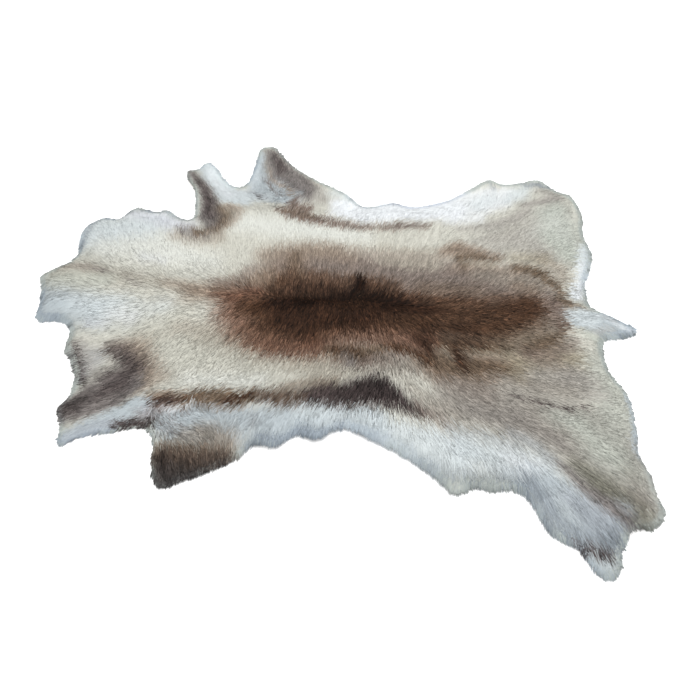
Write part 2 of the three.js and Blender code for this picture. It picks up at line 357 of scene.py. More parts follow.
# The coat's markings by part of the body, painted in this order: a label, the shade, how fully it covers, the
# breadth of its soft border, and its path as places x, y and half width, in millimetres.
MARKINGS = (
    # neck and shoulders
    ("right of the neck", "frost", 0.9, 90, (-640, 120, 60), (-560, 130, 60), (-480, 150, 50)),
    # these three rows are painted shade along the neck's cut edges, where the coat rolls down and faces away
    # from the light
    ("neck corner, shade", "pewter", 0.7, 24, (-626, 70, 8), (-628, 120, 10), (-630, 155, 6), (-600, 180, 6),
     (-560, 205, 5), (-500, 216, 5)),
    ("left neck corner, shade", "pewter", 1.0, 24, (-652, -46, 8), (-640, -108, 11), (-620, -122, 13),
     (-600, -122, 9)),
    ("neck end, shade", "stone", 0.4, 24, (-656, -20, 8), (-654, -52, 8)),
    ("left of the neck", "silver", 1.0, 80, (-650, -90, 44), (-560, -100, 40), (-480, -115, 26)),
    ("left of the neck, pale", "frost", 0.6, 50, (-530, -80, 12), (-460, -78, 20), (-420, -88, 12)),
    ("left of the neck, bright", "frost", 0.9, 60, (-565, -92, 10), (-490, -102, 26), (-415, -120, 32),
     (-360, -85, 20)),
    ("left of the neck, lilac", "lilac", 0.6, 30, (-510, -138, 8), (-470, -140, 8)),
    ("left shoulder", "ivory", 0.9, 100, (-430, -130, 30), (-330, -140, 60), (-260, -175, 60),
     (-120, -200, 30)),
    ("left shoulder, tan", "oat", 0.4, 50, (-400, -160, 8), (-350, -158, 18)),
    ("left of the neck, brightest", "snow", 0.6, 44, (-465, -112, 12), (-420, -118, 14)),
    ("left shoulder, pale", "cream", 0.6, 50, (-290, -235, 16), (-200, -230, 24), (-90, -215, 20)),
    ("left flank, bright", "milk", 0.8, 40, (-260, -244, 12), (-180, -246, 16), (-110, -236, 14)),
    ("near flank, front tan", "fawn", 0.3, 50, (-310, -130, 14), (-215, -130, 20)),
    ("right flank, bright", "milk", 0.85, 60, (-250, 195, 34), (-120, 190, 36), (0, 180, 28), (70, 178, 14)),
    ("right shoulder, bright", "milk", 0.95, 80, (-560, 68, 18), (-480, 74, 34), (-420, 92, 34),
     (-360, 66, 34), (-290, 62, 20)),
    ("right shoulder, brightest", "snow", 0.6, 40, (-455, 52, 8), (-405, 50, 10)),
    # nape and withers
    ("ground", "oat", 0.65, 50, (-650, -20, 16), (-560, -15, 22), (-470, -14, 16), (-400, -16, 10)),
    ("back", "oat", 0.2, 50, (-400, -22, 12), (-340, -30, 14), (-290, -42, 14)),
    ("front", "lichen", 0.6, 50, (-650, -30, 20), (-520, -25, 24)),
    ("line", "stone", 0.9, 24, (-640, 4, 8), (-600, 6, 11), (-560, 4, 10), (-530, 0, 8)),
    ("line, middle", "stone", 0.4, 22, (-520, 0, 5), (-470, -2, 5), (-430, -8, 5)),
    ("line, dark", "ash", 0.9, 8, (-546, 2, 2), (-524, -2, 3)),
    ("line, dashes", "ash", 0.6, 8, (-470, -14, 2), (-440, -24, 3), (-418, -36, 2)),
    ("withers", "fawn", 0.6, 40, (-380, -15, 8), (-330, -22, 14), (-300, -28, 18)),
    ("withers, near", "fawn", 0.25, 30, (-340, -60, 8), (-300, -60, 10)),
    # right throat
    ("ground", "lilac", 0.8, 50, (-540, 195, 14), (-460, 190, 22), (-420, 170, 24), (-380, 170, 20)),
    ("below", "fawn", 0.4, 40, (-398, 128, 12), (-335, 124, 14), (-290, 135, 14)),
    # the shade and dashes rows are painted shadow in the crease between the neck and the foreleg
    ("shade", "ash", 0.6, 36, (-388, 160, 8), (-358, 142, 18), (-330, 142, 16)),
    ("dark", "drab", 0.9, 24, (-365, 158, 5), (-346, 143, 9), (-320, 160, 7)),
    ("dashes", "slate", 0.9, 6, (-400, 160, 1.5), (-388, 143, 2.5), (-376, 120, 2)),
    ("edge", "pewter", 0.5, 12, (-452, 212, 2), (-436, 202, 4), (-420, 190, 2)),
    # right foreleg
    ("pale", "frost", 1.0, 24, (-398, 405, 26), (-362, 350, 28), (-315, 300, 32), (-262, 285, 28)),
    ("bright", "snow", 0.5, 24, (-386, 385, 8), (-345, 325, 10), (-300, 290, 10)),
    ("dark", "ash", 0.95, 24, (-436, 374, 11), (-401, 339, 15), (-367, 297, 18), (-348, 254, 27),
     (-338, 218, 32), (-318, 186, 26)),
    ("darkest", "slate", 0.7, 28, (-412, 348, 5), (-380, 312, 6), (-356, 264, 13), (-346, 229, 12),
     (-327, 205, 8)),
    ("brown", "drab", 0.75, 34, (-316, 242, 12), (-294, 220, 18), (-292, 188, 15), (-306, 160, 12)),
    ("tan", "fawn", 0.7, 30, (-295, 250, 10), (-262, 240, 8)),
    ("tan, foot", "fawn", 0.5, 30, (-262, 218, 10), (-275, 186, 9)),
    ("rim", "silver", 0.15, 12, (-402, 300, 4), (-390, 268, 7), (-384, 225, 5)),
    # right elbow flap
    ("ground", "silver", 1.0, 26, (-250, 480, 16), (-248, 400, 34), (-215, 330, 50), (-150, 320, 50)),
    ("inner", "snow", 0.25, 40, (-300, 308, 12), (-258, 318, 16), (-256, 400, 6)),
    ("side", "dun", 0.8, 50, (-74, 345, 16), (-60, 300, 20)),
    ("side, rim", "stone", 0.6, 20, (-112, 380, 6), (-78, 362, 8)),
    ("olive", "stone", 0.8, 26, (-246, 492, 10), (-236, 470, 10), (-230, 430, 12), (-222, 390, 6)),
    ("brown", "ash", 0.95, 30, (-225, 485, 18), (-200, 436, 29), (-171, 398, 34), (-130, 364, 34),
     (-102, 336, 24), (-94, 300, 12)),
    ("darkest", "slate", 0.55, 28, (-216, 470, 9), (-196, 440, 15), (-184, 410, 14), (-196, 384, 8)),
    ("rim", "stone", 0.5, 8, (-232, 508, 3), (-190, 460, 4), (-150, 424, 4), (-95, 388, 4)),
    ("tan", "fawn", 0.8, 14, (-218, 405, 3), (-208, 368, 5), (-175, 345, 5), (-148, 328, 6), (-132, 305, 5)),
    ("foot", "taupe", 0.95, 18, (-116, 300, 5), (-136, 272, 10), (-90, 260, 13)),
    ("foot, pale", "frost", 0.6, 30, (-290, 284, 14), (-232, 280, 16), (-195, 300, 12)),
    ("whorl", "ash", 0.95, 10, (-218, 360, 3), (-205, 337, 4), (-190, 317, 3), (-165, 302, 2.5),
     (-145, 308, 2)),
    ("whorl, inner", "ash", 0.6, 7, (-196, 352, 2), (-186, 328, 2), (-170, 317, 1.5), (-154, 320, 1)),
    ("whorl, shade", "ash", 0.35, 20, (-232, 372, 6), (-205, 352, 8)),
    ("dash", "slate", 0.7, 8, (-236, 305, 2), (-215, 287, 3)),
    # near flank
    ("tan", "oat", 0.8, 60, (-250, -140, 20), (-120, -175, 24), (-20, -178, 22), (80, -178, 18)),
    ("low", "oat", 0.8, 40, (-60, -195, 8), (0, -200, 12), (60, -198, 12)),
    ("stone", "stone", 0.9, 44, (40, -168, 14), (110, -174, 20), (180, -170, 22), (228, -172, 18)),
    ("taupe", "taupe", 0.9, 34, (40, -158, 14), (95, -160, 18), (140, -152, 14), (168, -147, 8)),
    ("fawn", "fawn", 0.75, 50, (-190, -135, 16), (-110, -155, 20), (-20, -158, 18), (50, -155, 12)),
    ("back", "fawn", 0.95, 50, (215, -145, 24), (265, -165, 40), (330, -165, 44), (395, -150, 34)),
    ("back, low", "taupe", 0.4, 36, (250, -200, 12), (285, -190, 14)),
    ("brown", "drab", 0.85, 44, (235, -150, 14), (275, -165, 26), (322, -175, 20)),
    # near rump
    ("gap", "drab", 0.9, 30, (236, -104, 12), (268, -114, 20), (310, -110, 18), (350, -106, 17),
     (392, -103, 11)),
    ("gap, dark", "brown", 0.5, 30, (255, -104, 8), (310, -100, 12), (352, -100, 12)),
    ("left haunch, upper", "stone", 0.9, 60, (390, -180, 24), (450, -182, 30), (520, -175, 30)),
    ("straw", "straw", 0.85, 50, (420, -135, 30), (480, -125, 34), (530, -115, 22)),
    ("brown", "drab", 0.75, 50, (370, -75, 30), (440, -78, 30), (492, -72, 20)),
    # saddle
    ("ground", "taupe", 0.85, 70, (-100, 50, 60), (0, 45, 72), (150, 45, 76), (300, 42, 76), (420, 40, 60),
     (480, 20, 50)),
    ("far", "fawn", 0.7, 60, (-165, 95, 20), (-80, 115, 26), (-10, 118, 24), (40, 105, 10)),
    ("far edge", "fawn", 0.35, 40, (-70, 132, 10), (40, 132, 12), (120, 130, 10), (260, 134, 12)),
    ("far back", "fawn", 0.6, 50, (300, 105, 14), (380, 100, 22), (450, 98, 26)),
    ("far light", "oat", 0.9, 40, (110, 106, 8), (180, 101, 14), (245, 104, 13)),
    ("far corner", "drab", 0.7, 40, (-94, 108, 9), (-92, 74, 18), (-78, 48, 18)),
    ("far middle", "ash", 0.35, 50, (-40, 80, 12), (60, 75, 12), (200, 70, 16), (300, 70, 16)),
    ("front", "fawn", 0.85, 60, (-310, -30, 10), (-250, -25, 30), (-190, -15, 44), (-150, 20, 40)),
    ("front corner", "taupe", 0.5, 40, (-265, -2, 8), (-215, 2, 16), (-190, 50, 14)),
    ("front middle", "taupe", 0.5, 34, (-194, -8, 8), (-160, -12, 12)),
    ("front russet", "russet", 0.85, 50, (-262, -32, 5), (-218, -36, 22), (-165, -36, 38)),
    ("front near", "russet", 0.8, 60, (-215, -80, 30), (-170, -105, 38), (-100, -128, 34), (-20, -125, 34)),
    ("near", "russet", 0.85, 40, (-20, -108, 34), (60, -100, 34), (140, -95, 36), (210, -95, 40)),
    ("front near, dark", "brown", 0.5, 40, (-160, -112, 14), (-100, -122, 20), (-40, -126, 20),
     (10, -120, 8)),
    # back
    ("ground", "brown", 0.95, 50, (-175, -60, 22), (-110, -60, 56), (0, -55, 56), (100, -42, 48),
     (200, -40, 46), (300, -48, 46), (380, -35, 44), (450, 2, 38)),
    ("far", "brown", 0.75, 44, (-135, 15, 20), (-60, 25, 26), (20, 25, 26), (100, 28, 22), (150, 15, 16)),
    ("far front", "umber", 0.7, 36, (-122, -12, 14), (-80, 0, 20), (-30, 6, 16), (10, 14, 12)),
    ("front corner", "fawn", 0.8, 32, (-175, 14, 12), (-142, 30, 15)),
    ("far middle", "brown", 0.5, 30, (45, 50, 10), (90, 42, 14), (150, 38, 14)),
    ("far tuft", "brown", 0.5, 26, (-45, 52, 8), (-15, 50, 10)),
    ("far front, side", "brown", 0.4, 34, (-112, 20, 12), (-96, 50, 12)),
    ("far rump", "brown", 0.8, 44, (165, 10, 12), (230, 6, 18), (290, 4, 20), (350, 8, 12)),
    ("far rump, end", "brown", 0.5, 30, (372, 26, 10), (402, 24, 8)),
    ("far rump, edge", "drab", 0.5, 40, (210, 40, 8), (280, 42, 10), (340, 40, 8)),
    ("dark", "umber", 0.9, 44, (-140, -50, 14), (-80, -65, 34), (0, -60, 36), (80, -55, 34), (130, -30, 24),
     (220, -25, 16)),
    ("dark, far rim", "umber", 0.9, 40, (92, -6, 12), (140, 0, 14), (195, -2, 13)),
    ("front end", "brown", 0.4, 40, (-195, -68, 14), (-165, -55, 20)),
    ("near dark", "umber", 0.6, 34, (-110, -95, 16), (-60, -110, 22), (-25, -105, 18)),
    ("dark rump", "umber", 0.25, 40, (350, -8, 8), (405, -4, 14), (450, 0, 12), (478, 0, 10)),
    ("near rump", "umber", 0.4, 40, (230, -80, 20), (330, -75, 24)),
    # spine
    # the spine's dark line and its spot: dark hair where the fur parts, and painted shadow in the parting's
    # trough and in a fold across it
    ("ground", "soot", 0.95, 36, (-135, -36, 6), (-95, -36, 14), (-50, -26, 14), (0, -14, 14), (50, 2, 18),
     (100, 6, 18), (140, 0, 14), (190, -16, 8)),
    ("back", "umber", 0.8, 30, (190, -15, 12), (250, -25, 8)),
    ("spot", "soot", 0.95, 20, (62, 16, 14), (68, 40, 13), (64, 53, 9)),
    ("spot, pale", "drab", 0.5, 12, (64, 6, 3), (74, 0, 3)),
    # bands and patches on the near side
    ("pale band", "fawn", 0.2, 24, (0, -118, 7), (60, -116, 9), (120, -112, 8), (170, -110, 4)),
    ("olive band", "drab", 0.95, 18, (5, -150, 8), (40, -150, 13), (75, -151, 14), (105, -143, 9),
     (150, -128, 6)),
    ("olive band, dark", "brown", 0.7, 20, (28, -144, 8), (76, -146, 9)),
    ("olive band, back", "brown", 0.9, 16, (138, -127, 7), (165, -129, 9), (190, -135, 8), (214, -147, 7),
     (236, -162, 5)),
    ("olive band, foot", "ash", 0.8, 20, (50, -155, 6), (72, -172, 9), (62, -184, 4)),
    ("below the olive band", "stone", 0.5, 24, (120, -158, 6), (150, -154, 8), (190, -158, 8)),
    ("russet edge", "russet", 0.7, 34, (-150, -150, 10), (-100, -158, 12), (-40, -158, 12), (0, -150, 8)),
    ("dark patch", "umber", 0.85, 24, (202, -98, 8), (222, -116, 12), (236, -142, 7)),
    ("tan streak", "oat", 0.6, 14, (262, -125, 3), (280, -142, 3)),
    ("dark bar", "umber", 0.95, 22, (285, -118, 8), (294, -140, 12), (302, -165, 8)),
    ("brown bar", "drab", 1.0, 24, (312, -150, 9), (350, -155, 13), (395, -152, 8)),
    ("rump, light", "straw", 0.5, 30, (400, -155, 12), (412, -175, 10)),
    ("tan bar", "straw", 0.55, 20, (325, -124, 4), (360, -121, 7), (405, -120, 8)),
    ("rump bar", "drab", 0.85, 26, (520, -45, 6), (498, -70, 12), (470, -90, 14), (425, -104, 8)),
    # far side
    ("spot", "fawn", 0.9, 34, (264, 156, 10), (295, 164, 20), (340, 155, 18), (395, 148, 8)),
    ("spot, foot", "drab", 0.7, 24, (300, 132, 8), (312, 112, 8)),
    ("spot, front", "fawn", 0.6, 26, (255, 142, 8), (285, 146, 10)),
    ("flank, tan", "oat", 0.6, 36, (110, 150, 8), (170, 143, 10), (230, 148, 12)),
    ("spot, dark", "drab", 0.85, 20, (300, 138, 8), (340, 140, 9), (392, 142, 6)),
    ("spot, tan", "straw", 0.5, 16, (310, 118, 4), (380, 120, 5)),
    ("rump", "stone", 0.7, 40, (340, 85, 16), (420, 80, 24), (480, 72, 18)),
    ("rump, fawn", "fawn", 0.7, 36, (425, 62, 10), (470, 58, 12)),
    ("rump, side", "fawn", 0.45, 40, (495, 145, 12), (528, 125, 18), (540, 95, 12)),
    ("rump brown", "drab", 0.95, 28, (430, 116, 8), (465, 114, 12), (492, 102, 15), (512, 80, 12),
     (528, 55, 8)),
    # rump
    ("middle", "taupe", 0.8, 24, (505, 26, 14), (520, -5, 16), (515, -35, 14)),
    ("middle, near", "brown", 0.3, 34, (500, -30, 12), (526, -50, 10)),
    ("near rump, side", "brown", 0.5, 40, (425, -40, 16), (475, -42, 16)),
    ("near rump, lower side", "taupe", 0.6, 34, (430, -112, 12), (490, -112, 14), (535, -78, 12)),
    ("near rump, lower", "taupe", 0.4, 40, (450, -128, 14), (510, -150, 14)),
    ("tail root brown", "drab", 0.8, 16, (522, 36, 10), (545, 22, 9), (572, 14, 4)),
    # right haunch
    ("haunch", "dun", 0.65, 70, (345, 195, 14), (400, 198, 40), (470, 212, 52), (530, 270, 46),
     (555, 330, 26)),
    ("haunch, belly side", "dun", 0.9, 36, (300, 230, 6), (350, 241, 10), (400, 257, 14), (440, 281, 15),
     (480, 314, 12)),
    ("haunch streaks", "stone", 0.15, 34, (380, 215, 8), (420, 232, 10), (450, 262, 8)),
    ("haunch, near", "dun", 0.6, 40, (500, 172, 14), (540, 158, 14)),
    ("haunch, pale", "lichen", 1.0, 60, (565, 170, 26), (550, 240, 50), (545, 300, 40), (560, 330, 22)),
    ("haunch, palest", "milk", 0.4, 70, (485, 235, 14), (545, 285, 32), (562, 225, 20)),
    ("haunch, straw", "straw", 0.6, 40, (430, 148, 14), (500, 152, 18)),
    ("hind seam", "ash", 0.65, 24, (466, 332, 5), (500, 346, 8), (530, 360, 8), (575, 374, 6)),
    ("hind end", "ash", 0.5, 24, (515, 388, 7), (560, 382, 9)),
    # left haunch and hind leg
    ("haunch", "dun", 0.95, 60, (285, -235, 38), (360, -240, 46), (440, -255, 50), (510, -270, 64),
     (580, -310, 56), (600, -380, 40)),
    ("haunch, stone", "stone", 0.5, 60, (285, -235, 38), (360, -240, 46), (440, -250, 50), (510, -265, 60),
     (570, -300, 40)),
    ("haunch, shade", "ash", 0.3, 50, (310, -250, 14), (390, -262, 20), (440, -280, 16), (480, -305, 10)),
    ("haunch, light", "lichen", 0.85, 70, (480, -245, 14), (520, -260, 28), (555, -308, 30),
     (598, -345, 22)),
    ("haunch, brown", "taupe", 0.35, 50, (280, -205, 14), (340, -210, 20)),
    ("haunch, pale", "lichen", 0.6, 60, (572, -120, 14), (594, -170, 24), (588, -230, 34), (590, -300, 20)),
    ("haunch, rear", "dun", 0.7, 30, (540, -192, 8), (576, -196, 11)),
    ("rump rim", "frost", 0.9, 14, (634, -185, 7), (634, -250, 8), (628, -300, 7)),
    ("haunch, top", "dun", 0.8, 50, (450, -160, 16), (520, -160, 24), (560, -170, 16)),
    # the crease: dark where the fur parts, and painted shadow in the crease
    ("haunch crease", "slate", 0.9, 7, (385, -213, 1), (450, -221, 2.2), (500, -229, 3.2), (552, -218, 1.6)),
    ("leg olive", "olive", 0.78, 40, (503, -338, 12), (556, -386, 26), (600, -414, 26)),
    ("leg, rear", "stone", 0.5, 44, (598, -350, 14), (606, -390, 16)),
    # right belly and hind leg
    ("belly", "snow", 1.0, 30, (-18, 284, 16), (10, 280, 30), (60, 262, 32), (130, 280, 34), (210, 285, 38),
     (280, 300, 40)),
    ("belly, bright", "snow", 1.0, 36, (-15, 256, 16), (60, 250, 22), (110, 256, 20), (165, 268, 14)),
    ("belly, front", "frost", 0.7, 40, (-28, 328, 16), (8, 322, 20)),
    ("belly, edge", "lilac", 0.8, 30, (100, 320, 8), (180, 315, 10), (250, 335, 14), (310, 370, 14)),
    ("belly, back", "snow", 0.8, 40, (280, 290, 30), (340, 330, 50), (400, 355, 44), (430, 385, 20)),
    ("belly, rear edge", "snow", 0.7, 30, (270, 252, 12), (315, 262, 14), (350, 272, 14)),
    ("belly, rear", "frost", 0.6, 40, (345, 320, 20), (385, 345, 20)),
    ("hind leg, inner", "frost", 0.8, 40, (430, 350, 14), (460, 375, 24), (480, 400, 16)),
    ("hind corner", "pewter", 0.8, 24, (490, 420, 10), (520, 425, 14), (545, 410, 7)),
    # the hind fold is painted shadow in small creases where the hide lifts
    ("hind fold", "pewter", 0.5, 12, (386, 416, 5), (396, 385, 4)),
    # left belly and the inside of the left hind leg
    ("belly", "silver", 1.0, 30, (-130, -315, 24), (-60, -325, 40), (40, -312, 42), (120, -308, 40)),
    ("belly, pale", "frost", 0.9, 36, (-20, -290, 10), (100, -295, 12), (200, -325, 34), (280, -345, 40)),
    ("belly, back", "frost", 0.95, 40, (290, -330, 26), (370, -345, 30), (440, -362, 30)),
    ("belly, back, bright", "snow", 0.7, 36, (375, -340, 10), (430, -354, 14)),
    ("belly, under haunch", "mist", 0.6, 24, (270, -292, 5), (340, -302, 7), (400, -318, 6)),
    ("belly, upper rear", "mist", 0.6, 30, (385, -290, 8), (430, -312, 10), (460, -335, 8)),
    ("leg inside", "silver", 0.9, 34, (430, -375, 24), (470, -405, 44), (515, -440, 44), (520, -490, 30)),
    ("leg inside, middle", "mist", 1.0, 36, (480, -395, 14), (530, -430, 32), (572, -412, 16)),
    # the inside shade and the crotch rows are painted shadow in the crease along the leg's inner side and at
    # the crotch
    ("leg inside, shade", "pewter", 0.85, 34, (415, -384, 15), (434, -406, 18), (452, -442, 15),
     (500, -462, 12), (550, -462, 12)),
    ("leg seam", "ash", 0.95, 24, (470, -338, 4), (500, -368, 8), (545, -404, 13), (580, -430, 12)),
    ("leg, shaded", "pewter", 0.25, 30, (500, -420, 14), (540, -440, 14)),
    ("leg, crotch", "pewter", 0.4, 30, (428, -398, 12), (456, -374, 10)),
    ("leg, outer edge", "pewter", 0.85, 26, (562, -438, 8), (545, -465, 10)),
    ("leg tips", "slate", 0.9, 16, (486, -478, 5), (508, -478, 8), (538, -482, 7)),
    # the belly's edge: dark hair tips, and painted shade where the coat rolls down at the cut
    ("belly edge", "pewter", 0.85, 18, (-112, -366, 6), (-80, -348, 7), (-50, -354, 6), (-16, -328, 6),
     (25, -334, 5), (64, -311, 6)),
    ("belly edge, back", "pewter", 0.55, 24, (200, -360, 4), (280, -384, 8), (350, -374, 11),
     (418, -374, 14)),
    # right flank band
    ("ground", "taupe", 0.9, 22, (-168, 250, 6), (-130, 241, 17), (-80, 227, 15), (-30, 218, 12),
     (15, 213, 11), (50, 209, 8), (100, 215, 7), (140, 221, 10), (190, 226, 8), (222, 229, 5)),
    ("front", "drab", 0.5, 24, (-150, 246, 8), (-110, 240, 10), (-70, 230, 6)),
    ("back", "ash", 0.5, 20, (130, 222, 5), (200, 230, 5)),
    # left flank band
    ("ground", "slate", 1.0, 22, (-112, -266, 9), (-60, -269, 14), (-20, -259, 15), (20, -252, 23),
     (60, -247, 24), (100, -236, 28), (128, -231, 31), (150, -240, 25), (176, -253, 16), (201, -262, 12),
     (225, -272, 4)),
    ("tail", "taupe", 0.6, 34, (205, -258, 10), (235, -268, 12), (262, -285, 8)),
    ("behind", "stone", 0.6, 30, (190, -216, 10), (228, -238, 12), (285, -272, 10)),
    ("upper", "drab", 0.6, 24, (-60, -244, 6), (0, -226, 10), (45, -220, 6)),
    ("core", "coal", 0.6, 26, (90, -222, 10), (130, -215, 14), (150, -225, 10)),
    ("brown", "drab", 0.7, 24, (-100, -262, 8), (-60, -267, 14), (-20, -262, 8)),
    ("lower", "ash", 0.5, 20, (24, -268, 4), (60, -268, 6), (124, -266, 6)),
    ("front", "brown", 0.95, 18, (-326, -303, 10), (-300, -300, 15), (-262, -291, 9), (-222, -280, 6)),
    ("front, dark", "slate", 0.6, 16, (-318, -301, 6), (-298, -299, 9), (-265, -292, 6)),
    ("tan", "fawn", 0.7, 12, (-322, -286, 4), (-280, -280, 3), (-255, -275, 2)),
    ("middle", "drab", 0.95, 20, (-222, -282, 17), (-180, -285, 24), (-148, -281, 18), (-118, -267, 11)),
    ("dark", "umber", 0.9, 14, (-170, -284, 7), (-146, -276, 9), (-124, -270, 6)),
    ("left flank, under the band", "ash", 0.7, 34, (-225, -304, 8), (-180, -314, 18), (-145, -312, 14),
     (-115, -322, 10)),
    # left throat and shoulder
    ("throat pale", "mist", 0.9, 30, (-500, -205, 10), (-468, -222, 20), (-476, -262, 6)),
    ("throat shade", "dun", 0.9, 50, (-508, -198, 20), (-474, -218, 17), (-446, -272, 12)),
    ("throat edge", "slate", 0.75, 16, (-527, -188, 5), (-509, -210, 8), (-491, -237, 9), (-475, -263, 9),
     (-462, -280, 6)),
    ("shoulder soft edge", "fawn", 0.75, 50, (-425, -186, 10), (-380, -190, 24), (-342, -232, 22),
     (-345, -275, 12)),
    ("shoulder, rear", "fawn", 0.4, 40, (-330, -262, 10), (-305, -245, 12)),
    ("shoulder dark", "slate", 0.85, 44, (-436, -194, 14), (-406, -206, 20), (-378, -232, 26),
     (-376, -252, 24), (-402, -268, 26), (-420, -256, 14)),
    ("shoulder dark, inner", "slate", 0.95, 36, (-412, -262, 12), (-390, -262, 16)),
    # left foreleg
    ("dark", "ash", 1.0, 24, (-482, -334, 22), (-445, -314, 33), (-405, -289, 36), (-370, -268, 24)),
    ("darkest", "coal", 0.7, 26, (-484, -332, 8), (-466, -328, 12), (-452, -314, 8)),
    ("smudge", "slate", 0.7, 34, (-430, -300, 8), (-412, -282, 14), (-388, -264, 17)),
    ("pale", "silver", 1.0, 18, (-462, -390, 17), (-430, -365, 18), (-385, -341, 20), (-335, -312, 22)),
    ("shade", "mist", 0.9, 20, (-460, -384, 12), (-430, -368, 14), (-385, -350, 12)),
    ("pale foot", "lilac", 0.8, 24, (-320, -322, 12), (-270, -318, 12), (-235, -310, 10)),
    ("dash", "slate", 0.95, 12, (-380, -350, 6), (-355, -347, 10), (-318, -340, 9), (-290, -332, 5)),
    # the hollow is painted shade in a hollow of the coat
    ("hollow", "ash", 0.6, 20, (-336, -324, 6), (-312, -326, 8), (-286, -322, 8)),
    ("spot", "ash", 0.8, 8, (-366, -304, 3), (-360, -304, 3)),
    # left elbow flap
    ("ground", "silver", 1.0, 30, (-275, -345, 24), (-220, -335, 34), (-140, -330, 34)),
    ("middle", "stone", 0.95, 40, (-240, -360, 8), (-205, -350, 18), (-145, -358, 20)),
    ("dark", "drab", 0.95, 34, (-272, -397, 20), (-205, -398, 24), (-148, -390, 18)),
    ("dark, grey", "slate", 0.4, 34, (-272, -396, 16), (-205, -398, 18), (-148, -388, 14)),
    ("darkest", "coal", 0.85, 40, (-264, -412, 16), (-248, -434, 28), (-205, -430, 20), (-170, -412, 10),
     (-148, -400, 5)),
    ("streaks", "ash", 0.85, 8, (-292, -358, 2), (-262, -350, 3), (-228, -355, 2)),
    ("streaks, middle", "ash", 0.85, 8, (-285, -340, 2), (-255, -335, 2.5), (-230, -342, 1.5)),
    ("streaks, top", "ash", 0.8, 8, (-275, -322, 1.5), (-250, -314, 2.5), (-235, -310, 1)),
    ("right side", "silver", 0.3, 26, (-115, -365, 8), (-128, -345, 10)),
    # rump edge and tail
    ("right rump pale", "frost", 1.0, 20, (606, 210, 10), (598, 170, 16), (590, 120, 16), (574, 80, 12),
     (560, 50, 14)),
    ("right rump, brightest", "snow", 0.8, 16, (588, 150, 6), (576, 90, 9), (568, 60, 14), (560, 45, 8)),
    ("tail", "silver", 1.0, 14, (552, -18, 18), (580, -18, 30), (620, -16, 30), (680, -24, 16)),
    ("tail, upper", "frost", 0.95, 24, (553, -20, 14), (575, -22, 16), (600, -4, 8)),
    ("tail, edge", "snow", 0.8, 12, (604, -2, 4), (640, -14, 4), (676, -27, 6)),
    ("tail, lower", "dun", 0.6, 16, (580, -44, 5), (610, -34, 5), (632, -28, 3)),
    ("tail root, pale", "frost", 0.9, 26, (537, -2, 8), (560, 0, 12), (590, 4, 10)),
    ("under the tail", "lichen", 0.7, 24, (560, -50, 8), (595, -65, 12), (600, -100, 10)),
)


def eased(share):
    """A share from 0 to 1 that leaves 0 and reaches 1 gently."""
    return share * share * (3 - 2 * share)


def past_path(x, y, path):
    """How far points lie outside a path of changing half width, less than 0 within it, in millimetres."""
    nearest = np.full(x.shape, np.inf)
    for (*start, half0), (*end, half1) in zip(path[:-1], path[1:]):
        place_x, place_y, share = nearest_on(x, y, start, end)
        away = np.hypot(x - place_x, y - place_y)
        nearest = np.minimum(nearest, away - half0 - share * (half1 - half0))
    return nearest


def coat_colour(x, y):
    """The coat's colour where hair grows at x and y, in metres, as rows of sRGB levels."""
    near_cut = np.clip(1 - read_map(rim_depth, x, y) / CUT_SHADE_BREADTH, 0, 1)[:, None]
    colour = srgb(SHADES[GROUND_SHADE]) * (1 - near_cut) + srgb(SHADES[CUT_SHADE]) * near_cut
    for _label, shade, full, soft, *path in MARKINGS:
        cover = full * eased(np.clip(0.5 - past_path(x / MM, y / MM, path) / soft, 0, 1))[:, None]
        colour = colour * (1 - cover) + srgb(SHADES[shade]) * cover
    return colour


def paint(made, colour):
    """Stores a colour for each vertex in the attribute that the coat's materials read."""
    coat = made.data.color_attributes.new("coat", "FLOAT_COLOR", "POINT")
    lit = HAIR_REFLECTS * to_linear(np.clip(colour, 0, 1))
    coat.data.foreach_set("color", np.column_stack([lit, np.ones(len(lit))]).astype(np.float32).ravel())


chance = np.random.default_rng(7)


def unevenness(x, y, size):
    """Smooth chance values, about 0, over patches of that size, for points within a metre of the middle."""
    number = int(2 / size) + 4
    knots = chance.standard_normal((number, number))
    return between_nodes(knots, (x + 1) / size, (y + 1) / size, eased)


def undercoat_height(x, y):
    """Top of the wool: a share of the hair's depth, uneven in tufts, thinning out towards the cut."""
    floor = read_map(skin_height, x, y) + SKIN_THICKNESS
    pile = read_map(hair_height, x, y) - floor
    past_cut = read_map(rim_depth, x, y) - patched("overhang", x, y)
    rise = np.clip(past_cut / UNDERCOAT_ROLL, 0, 1) ** 0.5
    tufts = 1 + WOOL_UNEVENNESS * unevenness(x, y, WOOL_TUFT)
    return floor + UNDERCOAT_START + pile * UNDERCOAT_SHARE * rise * tufts


def coat_material(name, grain_size, detail, darkest, palest):
    """A matt material of the painted coat colour, varied by a grain. Gives its shader and the grain too."""
    material, shader = start_material(name)
    colour = add_node(material, "ShaderNodeAttribute", {"attribute_name": "coat"}).outputs["Color"]
    places = add_node(material, "ShaderNodeTexCoord").outputs["Object"]
    pattern = {"Scale": 1 / grain_size, "Detail": detail}
    grain = add_node(material, "ShaderNodeTexNoise", pattern, Vector=places).outputs["Fac"]
    tone = add_node(material, "ShaderNodeMapRange", {"To Min": darkest, "To Max": palest}, Value=grain)
    scale = {"operation": "SCALE"}
    shaded = add_node(material, "ShaderNodeVectorMath", scale, Vector=colour, Scale=tone.outputs["Result"])
    material.node_tree.links.new(shader.inputs["Base Color"], shaded.outputs["Vector"])
    shader.inputs["Specular IOR Level"].default_value = 0.05
    return material, shader, grain


